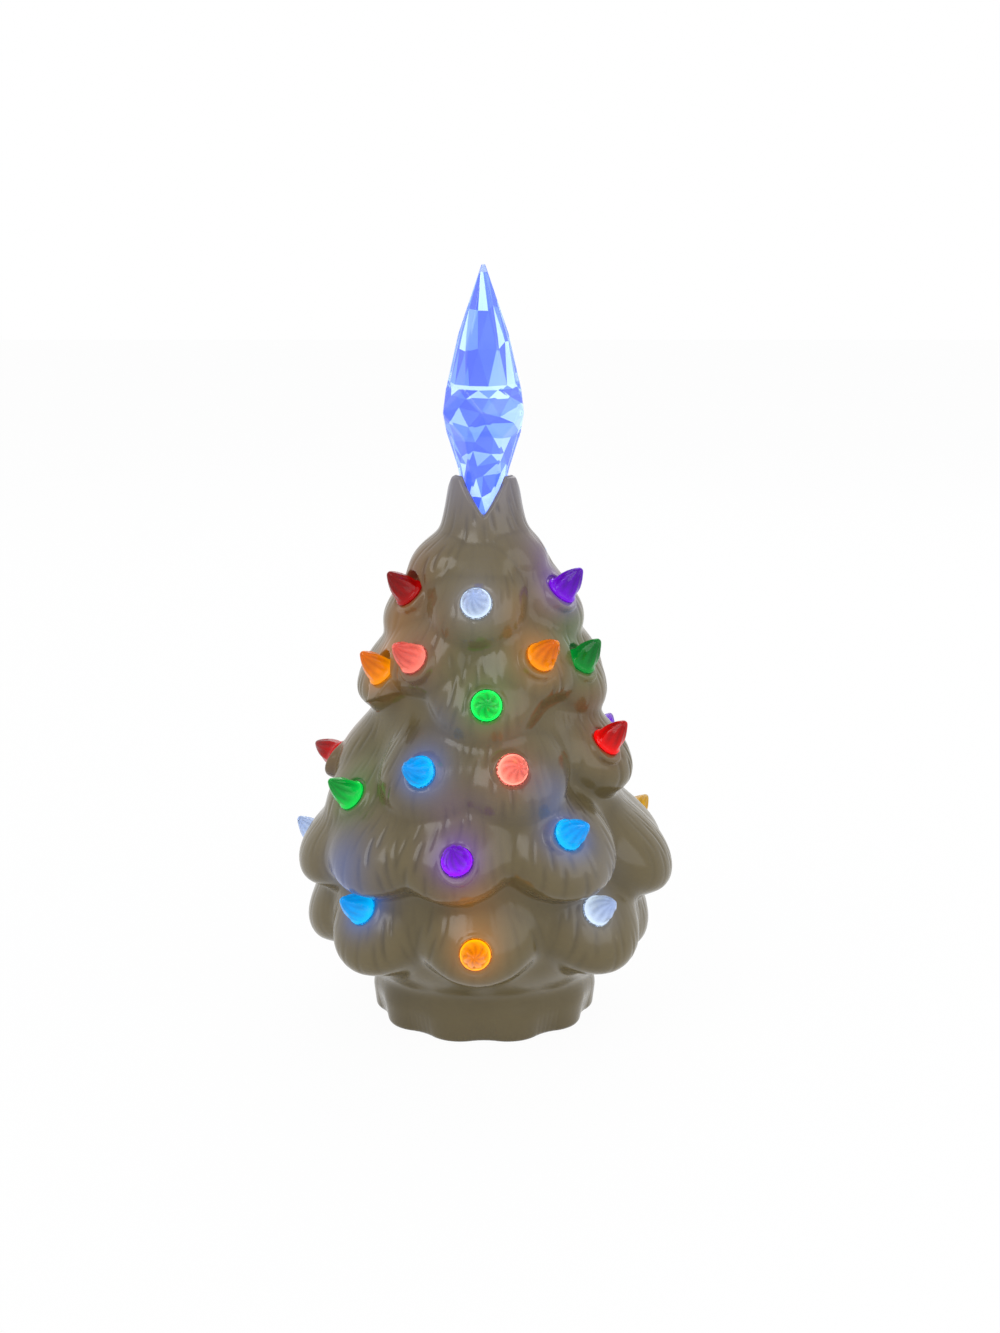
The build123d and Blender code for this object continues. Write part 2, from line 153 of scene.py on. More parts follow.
# Scalloped foot, notched rim and the inside that can be seen
FOOT_EDGE = 1.6
FOOT_BLEND = (FOOT_HEIGHT + 8.0, FOOT_HEIGHT - 4.0)
SCALLOP_TURN = 90
SCALLOP_LIP = 1.0
SCALLOP_FADE = 0.75
SCALLOP_BLUR = (-6, -3, 0, 3, 6)
RIM_EDGE = 1.8
NOTCH_SPREAD = 1.15
NOTCH_ROUND = 0.6
BORE_FLARE = 0.3
BORE_DROP = 0.1
BORE_SHARES = np.linspace(0.05, 1, 14)
CAVITY_TOP = CROWN_BASE_HEIGHT - 8.0
CAVITY_BOTTOM = FOOT_HEIGHT + 4.0
CAVITY_ROWS = 30
FOOT_BORE_EDGE = 0.6

# Carved needles: strokes that fan down a bough, sway, start and end, and are deep in patches
NEEDLE_SPACING = 2.5
NEEDLE_DEPTH = 0.48
NEEDLE_WIDTH = 0.26
NEEDLE_FACE = (-0.5, 0.3)
FAN_SHARE = 2.4
SWAY = (0.22, 0.23)
DRIFT = (0.18, 0.11, 0.2, 2)
STROKE_START = (12.9, 3.1)
STROKE_PITCH = (0.30, 0.1, 2.4)
STROKE_SHOWN = (0.15, 0.75)
STROKE_DEPTH = (0.65, 0.35)
PATCH_DEPTH = (0.55, 0.45)
PATCH_ACROSS = (0.21, 1.3)
PATCH_ALONG = (0.17, 2.1)
SEED_STEP = 1.7
NECK_BLEND = (CROWN_BASE_HEIGHT - 6.0, CROWN_BASE_HEIGHT + 4.0)
NECK_RADIUS = 14
NECK_FAN = 40
NECK_SEED = 0.4
RIM_CLEAR = 4.0

# Flat seats under the bulbs
SEAT_FLAT = 5.5
SEAT_FADE = 1.7
SEAT_WALL = 0.7
SEAT_DEPTH = 6.0
SEAT_SLOPE = 0.35

# Bulbs: colour of the plastic, its own glow, light of the heart, painted light on the glaze round the seat
BULB_LOOKS = {
    "red": ((0.28, 0.004, 0.004), (0.03, 0.001, 0.001), (1.05, 0.006, 0.006), (0.045, 0.002, 0.001)),
    "white": ((0.41, 0.50, 0.74), (0.03, 0.04, 0.06), (0.72, 0.75, 0.62), (0.055, 0.066, 0.100)),
    "purple": ((0.117, 0.008, 0.36), (0.02, 0.001, 0.06), (0.68, 0.006, 1.45), (0.045, 0.001, 0.210)),
    "blue": ((0.004, 0.39, 0.78), (0.001, 0.05, 0.12), (0.006, 0.48, 0.52), (0.001, 0.060, 0.280)),
    "orange": ((0.66, 0.17, 0.003), (0.06, 0.02, 0.001), (0.68, 0.54, 0.003), (0.180, 0.055, 0.001)),
    "pink": ((0.70, 0.105, 0.08), (0.05, 0.01, 0.01), (0.76, 0.60, 0.50), (0.070, 0.012, 0.014)),
    "yellow": ((0.55, 0.33, 0.03), (0.06, 0.04, 0.001), (0.55, 0.46, 0.02), (0.070, 0.040, 0.001)),
    "green": ((0.003, 0.17, 0.025), (0.001, 0.04, 0.008), (0.003, 1.2, 0.30), (0.001, 0.060, 0.016)),
}
# Bulbs that catch more or less of the lamp inside than the others of their colour
BULB_LIGHT = {
    "red_bulb_1": 0.37, "red_bulb_3": 1.16, "red_bulb_4": 0.6, "purple_bulb_1": 0.5, "purple_bulb_4": 1.1,
    "orange_bulb_2": 0.92, "orange_bulb_3": 0.92, "orange_bulb_4": 2.0, "pink_bulb_1": 0.86,
    "pink_bulb_2": 1.9, "green_bulb_2": 2.4, "green_bulb_3": 0.32,
}

# Painted light on the glaze: close round a seat, on the bough above it, and below the spire
NEAR_PAINTED_LIGHT = 1.5
NEAR_OUT = 2
NEAR_REACH = 7.5
ABOVE_LIGHT_OUT = 3
ABOVE_LIGHT_RISE = 13.0
ABOVE_LIGHT_REACH = 10.0
SPIRE_PAINTED_LIGHT = (0.050, 0.062, 0.130)
SPIRE_LIGHT_REACH = 15.0

UP = np.array([0.0, 0.0, 1.0])


def outward(angle):
    turn = np.radians(angle)
    return np.stack([np.sin(turn), -np.cos(turn), np.zeros_like(turn)], -1)


def heading(angle, rise):
    lift = np.radians(rise)
    return outward(np.float64(angle)) * np.cos(lift) + UP * np.sin(lift)


def bough_frame(tier, angle, lift, out):
    height, reach, radius, half, droop = TIER_SHARES[tier]
    radius = radius * TREE_RADIUS
    half = half * TREE_RADIUS
    drop = np.sin(np.radians(droop))
    tip = np.sqrt(radius ** 2 - (radius ** 2 - half ** 2) * drop ** 2)
    centre = outward(np.float64(angle)) * (reach * TREE_RADIUS + out * LIFT_STEP - tip)
    centre = centre + UP * (height * TREE_HEIGHT + lift * LIFT_STEP)
    return centre, heading(angle, 90 - droop), radius, half


def bulb_seat(bough):
    """Origin on the seat and axis of the bulb that a bough carries."""
    tier, angle, lift, out, _, turn, lean, aim, rise = bough
    height, reach, radius, half, droop = TIER_SHARES[tier]
    ball = (radius ** 2 + half ** 2) / (2 * half)
    shift = ball - half
    tip = ball - shift * np.sin(np.radians(droop))
    middle = outward(np.float64(angle)) * ((reach - tip) * TREE_RADIUS + out * LIFT_STEP)
    middle = middle + UP * (height * TREE_HEIGHT + lift * LIFT_STEP)
    middle = middle - heading(angle, 90 - droop) * shift * TREE_RADIUS
    axis = heading(aim, rise)
    return middle + heading(angle + turn, lean) * ball * TREE_RADIUS - axis * SEAT_SINK, axis


def named_bulbs():
    counts = {}
    for bough in BOUGHS:
        if len(bough) > 4:
            colour = bough[4]
            counts[colour] = counts.get(colour, 0) + 1
            seat, axis = bulb_seat(bough)
            yield f"{colour}_bulb_{counts[colour]}", colour, seat, axis


def smooth_step(low, high, value):
    share = np.clip((value - low) / (high - low), 0, 1)
    return share * share * (3 - 2 * share)


# Ceramic body
def core_radius(height):
    heights = np.array([share for share, _ in CORE_SHARES]) * TREE_HEIGHT
    radii = np.array([share for _, share in CORE_SHARES]) * TREE_RADIUS
    return np.mean([np.interp(height + shift, heights, radii) for shift in CORE_BLUR], 0)


def foot_outline(angle, height):
    """Radius of the scalloped foot at each angle in degrees and height."""
    ring = FOOT_RADIUS - FOOT_LOBE_RADIUS
    step = 360 / FOOT_LOBES
    off = np.radians((angle - SCALLOP_TURN + step / 2) % step - step / 2)
    share = np.clip(height / FOOT_HEIGHT, 0, 1)
    lobe = FOOT_LOBE_RADIUS - FOOT_LOBE_TAPER * (1 - share)
    scallop = ring * np.cos(off) + np.sqrt(lobe ** 2 - (ring * np.sin(off)) ** 2)
    return scallop + SCALLOP_FADE * share * (ring + lobe - SCALLOP_LIP - scallop)


def rim_height(angle):
    """Height of the crown's rim, notched at the front and twice behind."""
    step = 360 / NOTCH_COUNT
    off = np.radians((angle + step / 2) % step - step / 2)
    side = np.abs(np.sin(off)) * CROWN_BORE_RADIUS * NOTCH_SPREAD
    side = np.where(np.abs(off) > np.pi / 2, NOTCH_HALF_WIDTH, side)
    cut = np.clip(1 - np.sqrt(side ** 2 + NOTCH_ROUND) / NOTCH_HALF_WIDTH, 0, 1)
    return TREE_HEIGHT - NOTCH_DEPTH * cut


def body_distance(points, angle, boughs, windows):
    """Soft distance to the union of core and boughs, and the share that each bough has in it."""
    span = np.hypot(points[..., 0], points[..., 1])
    core = core_radius(points[..., 2])
    foot = smooth_step(*FOOT_BLEND, points[..., 2])
    wave = np.mean([foot_outline(angle + turn, points[..., 2]) for turn in SCALLOP_BLUR], 0)
    core = core + foot * np.maximum(wave - core, 0)
    crown = smooth_step(*CROWN_BLEND, points[..., 2])
    sharpness = JOIN_SHARPNESS + crown * (CROWN_SHARPNESS - JOIN_SHARPNESS)
    total = np.exp(-sharpness * CORE_SOFTNESS * (span - core))
    parts = [total.copy()]
    for (centre, normal, radius, half), window in zip(boughs, windows):
        away = points[window] - centre
        along = away @ normal
        flat = away - along[..., None] * normal
        level = np.sqrt((flat ** 2).sum(-1) / radius ** 2 + (along / half) ** 2) + TINY
        gap = (level - 1) / level * np.sqrt((away ** 2).sum(-1))
        share = np.exp(-sharpness[window] * np.maximum(gap, DEEPEST_GAP))
        total[window] += share
        parts.append(share)
    return JOIN_SWELL - np.log(total) / sharpness, total, parts


def needle_pattern(lateral, forward, radius, seed):
    """Carved needle strokes that fan down a bough, from nought to one."""
    fan = np.arctan2(lateral, forward + FAN_SHARE * radius) * FAN_SHARE * radius / NEEDLE_SPACING
    fan = fan + SWAY[0] * np.sin(forward * SWAY[1] + seed)
    fan = fan + DRIFT[0] * np.sin(forward * DRIFT[1] + lateral * DRIFT[2] + DRIFT[3] * seed)
    stroke = np.round(fan)
    across = np.abs(fan - stroke)
    start = np.sin(stroke * STROKE_START[0] + seed * STROKE_START[1])
    pitch = STROKE_PITCH[0] + STROKE_PITCH[1] * start
    length = 0.5 + 0.5 * np.sin(forward * pitch + stroke * STROKE_PITCH[2] + seed)
    patch_across = np.sin(lateral * PATCH_ACROSS[0] + PATCH_ACROSS[1] * seed)
    patch_along = np.sin(forward * PATCH_ALONG[0] + PATCH_ALONG[1] * seed)
    patch = PATCH_DEPTH[0] + PATCH_DEPTH[1] * patch_across * patch_along
    depth = STROKE_DEPTH[0] + STROKE_DEPTH[1] * start
    return np.exp(-(across / NEEDLE_WIDTH) ** 2) * smooth_step(*STROKE_SHOWN, length) * depth * patch


def soften(span):
    """Rounds the lips of the boughs as a thick glaze does."""
    tall = np.pad(span, ((GLAZE_ROWS, GLAZE_ROWS), (0, 0)), mode="edge")
    weights = 1 + GLAZE_ROWS - np.abs(np.arange(-GLAZE_ROWS, GLAZE_ROWS + 1))
    rows = len(span)
    span = sum(weight * tall[shift:shift + rows] for shift, weight in enumerate(weights)) / weights.sum()
    return (np.roll(span, 1, 1) + 2 * span + np.roll(span, -1, 1)) / 4


def trace_outline(angle, height, boughs, windows):
    """Radius of the soft union at each angle and height, with the shares of core and boughs there."""
    way = outward(angle)
    span = np.full(height.shape, TREE_RADIUS + TRACE_MARGIN)
    for _ in range(TRACE_STEPS):
        points = way * span[..., None] + UP * height[..., None]
        distance, total, parts = body_distance(points, angle, boughs, windows)
        span = np.maximum(span - TRACE_SHARE * distance, TRACE_INNERMOST)
    return span, points, total, parts


def painted_crease_shade(total, parts, windows):
    """Painted shade in the creases: nought on a bough, one in a crease where no bough has the larger share.
    """
    largest = parts[0].copy()
    for share, window in zip(parts[1:], windows):
        largest[window] = np.maximum(largest[window], share)
    return smooth_step(*CREASE_BAND, 1 - largest / total)


def carved_needles(angle, height, points, total, parts, boughs, windows):
    """Depth of the needle strokes on boughs and crown, from nought to one."""
    needles = np.zeros(height.shape)
    for count, ((centre, normal, radius, half), window) in enumerate(zip(boughs, windows)):
        side = np.cross(UP, outward(np.float64(BOUGHS[count][1])))
        down = np.cross(side, normal)
        down = down if down[2] < 0 else -down
        away = points[window] - centre
        shown = smooth_step(*NEEDLE_FACE, (away @ normal) / half) * parts[count + 1] / total[window]
        needles[window] += shown * needle_pattern(away @ side, away @ down, radius, count * SEED_STEP)
    crown = smooth_step(*NECK_BLEND, height) * parts[0] / total
    around = np.radians(angle) * NECK_RADIUS
    needles += crown * needle_pattern(around, TREE_HEIGHT - height, NECK_FAN, NECK_SEED)
    return needles * smooth_step(0, RIM_CLEAR, rim_height(angle) - height)


def flatten_seats(span, needles, angle, height):
    """Flat, smooth seat under each bulb."""
    way = outward(angle)
    for _, _, seat, axis in named_bulbs():
        near = way * span[..., None] + UP * height[..., None] - seat
        rise = near @ axis
        off = np.sqrt(np.maximum((near ** 2).sum(-1) - rise ** 2, 0))
        fade = np.where(rise > 0, SEAT_WALL, SEAT_FADE)
        mix = smooth_step(SEAT_FLAT + fade, SEAT_FLAT, off) * (np.abs(rise) < SEAT_DEPTH)
        level_span = span - rise / np.maximum(way @ axis, SEAT_SLOPE)
        span = span + mix * (level_span - span)
        needles = needles * (1 - mix)
    return span, needles


def round_edge(span, clear, edge):
    """Draws the outline in over the last stretch before an edge."""
    share = np.clip(1 - clear / edge, 0, 1)
    return span - edge * (1 - np.sqrt(1 - share ** 2))


def body_rows():
    """Outer grid of the glazed body: angle, height, radius and darkening of the colour, by the needle
    strokes and by painted shade in the creases, at each row and column.
    """
    angle = np.arange(COLUMNS) * 360 / COLUMNS - 180
    level = np.linspace(0, 1, ROWS)[:, None]
    split = CROWN_BASE_HEIGHT / TREE_HEIGHT
    upper = CROWN_BASE_HEIGHT + (level - split) / (1 - split) * (rim_height(angle) - CROWN_BASE_HEIGHT)
    height = np.where(level < split, level * TREE_HEIGHT, upper)
    angle = np.broadcast_to(angle, height.shape)
    boughs = [bough_frame(*bough[:4]) for bough in BOUGHS]
    windows = []
    for (centre, _, radius, _), bough in zip(boughs, BOUGHS):
        turn = np.abs((angle - bough[1] + 180) % 360 - 180)
        windows.append((np.abs(height - centre[2]) < radius + BOUGH_MARGIN) & (turn < BOUGH_TURN))
    span, points, total, parts = trace_outline(angle, height, boughs, windows)
    # Painted shade where boughs and core meet
    crease = painted_crease_shade(total, parts, windows)
    needles = carved_needles(angle, height, points, total, parts, boughs, windows)
    span = soften(span) - NEEDLE_DEPTH * needles
    span, needles = flatten_seats(span, needles, angle, height)
    span = round_edge(span, height, FOOT_EDGE)
    span = round_edge(span, rim_height(angle) - height, RIM_EDGE)
    # Darkening of the colour: needle strokes plus painted shade in the creases
    return angle, height, span, np.minimum(needles + CREASE_SHADE_STRENGTH * crease, 1)


def grid_mesh(name, rows, closed=False):
    """Mesh from rings of points, each ring closed on itself; the rows may close too."""
    rows = np.asarray(rows)
    count, ring = rows.shape[:2]
    index = np.arange(count * ring).reshape(count, ring)
    below = index if closed else index[:-1]
    above = np.roll(index, -1, 0) if closed else index[1:]
    quads = np.stack([below, np.roll(below, -1, 1), np.roll(above, -1, 1), above], -1).reshape(-1, 4)
    mesh = bpy.data.meshes.new(name)
    mesh.vertices.add(count * ring)
    mesh.vertices.foreach_set("co", (rows.reshape(-1, 3) * MM).ravel())
    mesh.loops.add(quads.size)
    mesh.loops.foreach_set("vertex_index", quads.ravel())
    mesh.polygons.add(len(quads))
    mesh.polygons.foreach_set("loop_start", np.arange(0, quads.size, 4))
    mesh.update(calc_edges=True)
    mesh.validate()
    mesh.shade_smooth()
    return mesh


def add_piece(name, mesh, body, nodes, materials):
    piece = bpy.data.objects.new(name, mesh)
    bpy.context.scene.collection.objects.link(piece)
    for material in materials:
        mesh.materials.append(material)
    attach(piece, body)
    if nodes:
        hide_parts(*nodes)
    return piece


def painted_light_on_glaze(spots):
    """Painted coloured light on the glaze, standing for the light that the spire and the bulbs throw on it.
    """
    light = np.outer(np.exp(-((TREE_HEIGHT - spots[:, 2]) / SPIRE_LIGHT_REACH) ** 2), SPIRE_PAINTED_LIGHT)
    for _, colour, seat, axis in named_bulbs():
        near = ((spots - seat - axis * NEAR_OUT) ** 2).sum(-1) / NEAR_REACH ** 2
        above = ((spots - seat - axis * ABOVE_LIGHT_OUT - UP * ABOVE_LIGHT_RISE) ** 2).sum(-1) / ABOVE_LIGHT_REACH ** 2
        light += np.outer(NEAR_PAINTED_LIGHT * np.exp(-near) + np.exp(-above), BULB_LOOKS[colour][3])
    return light


def make_body(material):
    angle, height, span, depth = body_rows()
    ring = angle[0]
    rim = rim_height(ring)
    rows = list(outward(angle) * span[..., None] + UP * height[..., None])
    depth = list(depth)

    def inner_row(radius, level):
        rows.append(outward(ring) * radius + UP * np.full(COLUMNS, level)[:, None])
        depth.append(np.zeros(COLUMNS))

    inner_row(CROWN_BORE_RADIUS + BORE_FLARE, rim - BORE_DROP)
    for share in BORE_SHARES:
        inner_row(CROWN_BORE_RADIUS, rim + share * (CROWN_SHELF_HEIGHT - rim))
    inner_row(CROWN_THROAT_RADIUS, CROWN_SHELF_HEIGHT)
    inner_row(CROWN_THROAT_RADIUS, CROWN_BASE_HEIGHT)
    for level in np.linspace(CAVITY_TOP, CAVITY_BOTTOM, CAVITY_ROWS):
        inner_row(core_radius(level) - CORE_WALL, level)
    inner_row(FOOT_BORE_RADIUS, FOOT_BORE_HEIGHT)
    inner_row(FOOT_BORE_RADIUS, FOOT_BORE_EDGE)
    inner_row(FOOT_BORE_RADIUS + FOOT_BORE_EDGE, 0)
    mesh = grid_mesh("tree_body_glazed", rows, closed=True)
    light = painted_light_on_glaze(np.concatenate(rows))
    # Painted light from the bulbs and the spire, kept on the glaze as a colour
    glow = mesh.attributes.new("glow", "FLOAT_COLOR", "POINT")
    glow.data.foreach_set("color", np.column_stack([light, np.ones(len(light))]).astype(np.float32).ravel())
    # Darkening of the glaze: needle strokes, plus painted shade in the creases
    carved_and_crease_shade = mesh.attributes.new("carved_and_crease_shade", "FLOAT", "POINT")
    carved_and_crease_shade.data.foreach_set("value", np.concatenate(depth).astype(np.float32))
    add_piece("tree_body_glazed", mesh, "tree", ["tree_body", "tree_crown"], [material])


# Bulbs: a fluted flame on a round collar, as heights and radii
BULB_SEGMENTS = 64
BULB_TURN = np.radians(np.arange(BULB_SEGMENTS) * 360 / BULB_SEGMENTS)
BULB_HEIGHT = 11.0
BULB_OUTLINE = [
    (-7.0, 0.0), (-7.0, 2.3), (-6.7, 2.6), (0.0, 2.6), (0.0, 4.9), (0.25, 5.15), (0.7, 5.25), (1.15, 5.15),
    (1.5, 4.85), (1.8, 4.5), (3.0, 4.4), (4.2, 4.2), (5.6, 3.8), (7.0, 3.2), (8.4, 2.45), (9.5, 1.75),
    (10.3, 1.15), (10.75, 0.7), (BULB_HEIGHT, 0.0),
]
FLUTES = 8
FLUTE_TWIST = 50
FLUTE_START = (1.5, 3.5)
FLUTE_END = (11.2, 8.5)
FLUTE_DEPTH = 0.10

# Lit heart of a bulb: heights, radii and brightness, and how strongly the flutes streak it
HEART_OUTLINE = [
    (0.25, 0.0, 1.6), (0.3, 4.4, 1.6), (0.8, 4.7, 1.6), (1.4, 4.2, 1.4), (2.4, 3.9, 1.05), (4.0, 3.6, 0.8),
    (5.6, 3.1, 0.62), (7.2, 2.3, 0.5), (8.6, 1.4, 0.42), (9.6, 0.6, 0.4), (9.9, 0.0, 0.4),
]
FLUTE_LIGHT = 0.28


def ring_row(radius, height, turn):
    return np.stack([radius * np.cos(turn), radius * np.sin(turn), np.full_like(turn, height)], -1)


def flute_wave(height):
    """Wave round a bulb that twists as it rises: one on a ridge, minus one in a flute."""
    return np.cos(FLUTES * (BULB_TURN + np.radians(FLUTE_TWIST) * height / BULB_HEIGHT))


def shell_rows():
    rows = []
    for height, radius in BULB_OUTLINE:
        share = smooth_step(*FLUTE_START, height) * smooth_step(*FLUTE_END, height)
        reach = radius * (1 - FLUTE_DEPTH * share * (0.5 - 0.5 * flute_wave(height)))
        rows.append(ring_row(reach, height, BULB_TURN))
    return np.array(rows)


def heart_light(name):
    """Brightness of a heart at each of its points, streaked along the flutes of the shell."""
    rows = [
        lit * (1 + FLUTE_LIGHT * smooth_step(*FLUTE_START, height) * flute_wave(height))
        for height, _, lit in HEART_OUTLINE
    ]
    return BULB_LIGHT.get(name, 1.0) * np.concatenate(rows)


def make_bulb(name, colour, seat, axis, materials):
    stand = np.array(Vector(axis).to_track_quat("Z", "Y").to_matrix()).T
    heart_rows = np.array([ring_row(radius, height, BULB_TURN) for height, radius, _ in HEART_OUTLINE])
    shell = grid_mesh(name + "_shell", shell_rows() @ stand + seat)
    heart = grid_mesh(name + "_heart", heart_rows @ stand + seat)
    lit = heart.attributes.new("lit", "FLOAT", "POINT")
    lit.data.foreach_set("value", heart_light(name).astype(np.float32))
    add_piece(name + "_shell", shell, "tree", [name], [materials[0]])
    add_piece(name + "_heart", heart, "tree", [], [materials[1]])


# Spire: six-sided cut plastic, as heights, radii and turns
SPIRE_SIDES = 6
SPIRE_RINGS = [
    (169.0, 4.9, 0), (185.0, 8.5, 0), (196.0, 12.0, 0), (203.5, 15.0, 30), (211.0, 12.1, 0),
    (228.0, 8.2, 0), (250.0, 0.7, 0),
]
CUT_BEVEL = 0.35
CUT_BEVEL_SEGMENTS = 2
CUT_BEVEL_ANGLE = 8
PEG_RADIUS = 4.0
PEG_BOTTOM = 158.0
PEG_TOP = SPIRE_RINGS[0][0]
PEG_EDGE = 0.5
PEG_SEGMENTS = 48

# Lit heart of the spire: rows of small facets with play, some rows brighter than the others; the near-white
# facets are painted glints of the cut plastic
FACET_HEIGHTS = [
    170.5, 176.5, 182.5, 186.5, 190.5, 195.0, 199.5, 204.0, 208.0, 210.6, 212.0, 224.0, 236.0, 247.5,
]
FACET_SIDES = 9
FACET_SHARE = 0.76
FACET_SEED = 6
FACET_TURN_PLAY = 0.3
FACET_LEVEL_PLAY = 1.6
BRIGHT_RING = 9
BRIGHT_ROWS = {0: 0.3, 1: 0.3, 2: 0.3, BRIGHT_RING: 0.55}
END_SHADE = 0.5


def spire_mesh():
    """Closed six-sided spindle of flat facets."""
    sides = range(SPIRE_SIDES)
    vertices = []
    for height, radius, turn in SPIRE_RINGS:
        for side in sides:
            angle = radians(turn + side * 360 / SPIRE_SIDES)
            vertices.append((np.cos(angle) * radius * MM, np.sin(angle) * radius * MM, height * MM))
    top = len(vertices) - SPIRE_SIDES
    faces = [tuple(reversed(sides)), tuple(range(top, len(vertices)))]
    for row in range(len(SPIRE_RINGS) - 1):
        low = [row * SPIRE_SIDES + side for side in sides]
        high = [corner + SPIRE_SIDES for corner in low]
        for side in sides:
            after = (side + 1) % SPIRE_SIDES
            if SPIRE_RINGS[row][2] == SPIRE_RINGS[row + 1][2]:
                faces.append((low[side], low[after], high[after], high[side]))
            elif SPIRE_RINGS[row + 1][2]:
                faces.append((low[side], low[after], high[side]))
                faces.append((low[after], high[after], high[side]))
            else:
                faces.append((high[side], low[side], high[after]))
                faces.append((high[after], low[side], low[after]))
    mesh = bpy.data.meshes.new("spire_cut")
    mesh.from_pydata(vertices, [], faces)
    mesh.update()
    return mesh


def spire_heart_mesh():
    """Lit spindle inside the spire: small flat facets, each with its own brightness; the brightest are
    painted glints.
    """
    outline = np.array(SPIRE_RINGS)
    vertices, faces, shade = [], [], []
    chance = np.random.default_rng(FACET_SEED)
    for row, height in enumerate(FACET_HEIGHTS):
        loose = 1 if 0 < row < BRIGHT_RING - 1 or row > BRIGHT_RING + 1 else 0
        for side in range(FACET_SIDES):
            place = side + 0.5 * (row % 2) + loose * chance.uniform(-FACET_TURN_PLAY, FACET_TURN_PLAY)
            angle = 2 * np.pi * place / FACET_SIDES
            level = height + loose * chance.uniform(-FACET_LEVEL_PLAY, FACET_LEVEL_PLAY)
            level = min(level, FACET_HEIGHTS[-1])
            radius = FACET_SHARE * np.interp(level, outline[:, 0], outline[:, 1])
            vertices.append((np.cos(angle) * radius * MM, np.sin(angle) * radius * MM, level * MM))
    for row in range(len(FACET_HEIGHTS) - 1):
        low, high = row * FACET_SIDES, (row + 1) * FACET_SIDES
        lift = BRIGHT_ROWS.get(row, 0)
        for side in range(FACET_SIDES):
            after = (side + 1) % FACET_SIDES
            if row % 2:
                faces += [(low + side, low + after, high + after), (low + side, high + after, high + side)]
            else:
                faces += [(low + side, low + after, high + side), (low + after, high + after, high + side)]
            shade += [min(1, chance.random() + lift), min(1, chance.random() + lift)]
    top = len(vertices) - FACET_SIDES
    faces += [tuple(reversed(range(FACET_SIDES))), tuple(range(top, len(vertices)))]
    shade += [END_SHADE, END_SHADE]
    mesh = bpy.data.meshes.new("spire_heart")
    mesh.from_pydata(vertices, [], faces)
    mesh.attributes.new("facet", "FLOAT", "FACE").data.foreach_set("value", shade)
    mesh.update()
    return mesh


def peg_rows():
    turn = np.radians(np.arange(PEG_SEGMENTS) * 360 / PEG_SEGMENTS)
    outline = [
        (PEG_BOTTOM, 0.0), (PEG_BOTTOM, PEG_RADIUS - PEG_EDGE), (PEG_BOTTOM + PEG_EDGE, PEG_RADIUS),
        (PEG_TOP, PEG_RADIUS), (PEG_TOP, 0.0),
    ]
    return [ring_row(radius, height, turn) for height, radius in outline]


def make_spire(clear, lit):
    piece = add_piece("spire_cut", spire_mesh(), "spire_body", ["spire"], [clear])
    bevel = piece.modifiers.new("edges", "BEVEL")
    bevel.width = CUT_BEVEL * MM
    bevel.segments = CUT_BEVEL_SEGMENTS
    bevel.limit_method = "ANGLE"
    bevel.angle_limit = radians(CUT_BEVEL_ANGLE)
    add_piece("spire_heart", spire_heart_mesh(), "spire_body", [], [lit])
    add_piece("spire_peg", grid_mesh("spire_peg", peg_rows()), "spire_body", [], [clear])


# Materials: two close tones by a noise, and values set on the shader
GLAZE_TONES = ((0.126, 0.096, 0.041), (0.153, 0.118, 0.053))
# Darker glaze for the needle strokes, also used as painted shade in the creases
GLAZE_STROKE_AND_SHADE = (0.080, 0.060, 0.026)
GLAZE_ROUGHNESS = (0.14, 0.23)
SHELL_DARKEST = 0.8
HEART_PALE = (0.03, 1.1)
CLEAR_TONES = ((0.36, 0.48, 0.95), (0.50, 0.62, 1.0))
# Deep blue to near white; the near-white stop is painted glints on the cut facets
FACET_STOPS = [
    (0.0, (0.05, 0.09, 0.70)), (0.5, (0.09, 0.16, 0.95)),
    (0.8, (0.20, 0.36, 1.0)), (0.93, (0.75, 0.92, 1.0)),
]
PLAIN_ROUGHNESS = (0.85, 1.15)

# Pieces shown as the solids are: dark tone, light tone, roughness, scale of the grain, metal or not
PLAIN = {
    "socket": ((0.62, 0.70, 0.85), (0.78, 0.84, 0.95), 0.3, 300),
    "lamp": ((0.82, 0.84, 0.88), (0.95, 0.96, 1.0), 0.2, 300),
    "white_plastic": ((0.60, 0.60, 0.57), (0.72, 0.72, 0.69), 0.5, 500),
    "board": ((0.015, 0.10, 0.03), (0.03, 0.16, 0.05), 0.4, 400),
    "base": ((0.43, 0.40, 0.35), (0.52, 0.49, 0.44), 0.55, 600),
    "gasket": ((0.012, 0.012, 0.012), (0.03, 0.03, 0.03), 0.8, 700),
    "cell": ((0.012, 0.012, 0.014), (0.03, 0.03, 0.034), 0.35, 200),
    "contact": ((0.50, 0.33, 0.10), (0.66, 0.46, 0.18), 0.35, 500, 1.0),
    "black_plastic": ((0.008, 0.008, 0.009), (0.02, 0.02, 0.022), 0.45, 600),
    "screw": ((0.42, 0.42, 0.43), (0.58, 0.58, 0.6), 0.3, 900, 1.0),
}


def new_material(name):
    material = bpy.data.materials.new(name)
    material.use_nodes = True
    nodes = material.node_tree.nodes
    return material, nodes, material.node_tree.links, nodes["Principled BSDF"]


def noise(nodes, links, scale):
    place = nodes.new("ShaderNodeTexCoord")
    field = nodes.new("ShaderNodeTexNoise")
    field.inputs["Scale"].default_value = scale
    field.inputs["Detail"].default_value = 4.0
    links.new(place.outputs["Object"], field.inputs["Vector"])
    return field.outputs["Fac"]


def grey(value):
    return (value, value, value)


def two_tones(nodes, links, source, tones):
    return ramp(nodes, links, source, [(0.3, tones[0]), (0.7, tones[1])])


def attribute(nodes, name):
    reader = nodes.new("ShaderNodeAttribute")
    reader.attribute_name = name
    return reader.outputs


